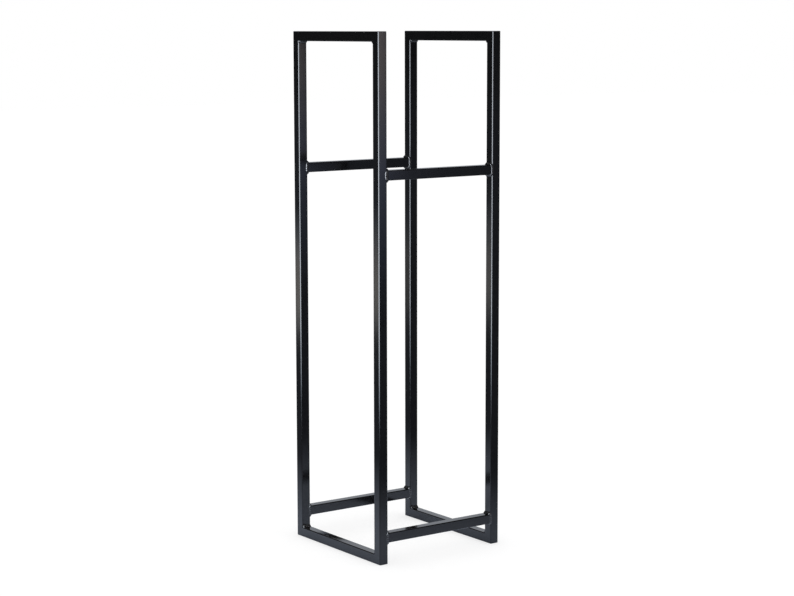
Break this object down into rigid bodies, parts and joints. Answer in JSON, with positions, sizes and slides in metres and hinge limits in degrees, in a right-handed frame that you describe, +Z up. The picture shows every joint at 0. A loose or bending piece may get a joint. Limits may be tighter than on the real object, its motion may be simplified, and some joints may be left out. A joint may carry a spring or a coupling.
{
  "type": "firewood log rack",
  "caption": "Tall narrow log rack of square steel tube: mitred side frames joined by welded cross rails, with open bays for stacked logs.",
  "frame": {"origin": "on the floor, at the middle of the rack's footprint", "axes": "+Z up; +X to the rack's right, across the open front, along the cross rails; -Y out of the front, so the logs lie along Y"},
  "size_m": [0.3, 0.302, 1.05],
  "materials": {
    "tube_powder_coat": "satin black powder coat on square steel tube",
    "weld_powder_coat": "the same black powder coat over rippled weld beads, slightly glossier"
  },
  "bodies": {
    "root": {"left_front_upright": "tube_powder_coat", "left_rear_upright": "tube_powder_coat", "left_top_rail": "tube_powder_coat", "left_bottom_rail": "tube_powder_coat", "right_front_upright": "tube_powder_coat", "right_rear_upright": "tube_powder_coat", "right_top_rail": "tube_powder_coat", "right_bottom_rail": "tube_powder_coat", "lower_front_cross_rail": "tube_powder_coat", "lower_rear_cross_rail": "tube_powder_coat", "upper_front_cross_rail": "tube_powder_coat", "upper_rear_cross_rail": "tube_powder_coat", "left_bottom_front_corner_weld": "weld_powder_coat", "left_bottom_rear_corner_weld": "weld_powder_coat", "left_top_front_corner_weld": "weld_powder_coat", "left_top_rear_corner_weld": "weld_powder_coat", "right_bottom_front_corner_weld": "weld_powder_coat", "right_bottom_rear_corner_weld": "weld_powder_coat", "right_top_front_corner_weld": "weld_powder_coat", "right_top_rear_corner_weld": "weld_powder_coat", "lower_front_left_rail_weld": "weld_powder_coat", "lower_front_right_rail_weld": "weld_powder_coat", "lower_rear_left_rail_weld": "weld_powder_coat", "lower_rear_right_rail_weld": "weld_powder_coat", "upper_front_left_rail_weld": "weld_powder_coat", "upper_front_right_rail_weld": "weld_powder_coat", "upper_rear_left_rail_weld": "weld_powder_coat", "upper_rear_right_rail_weld": "weld_powder_coat"}
  },
  "joints": []
}
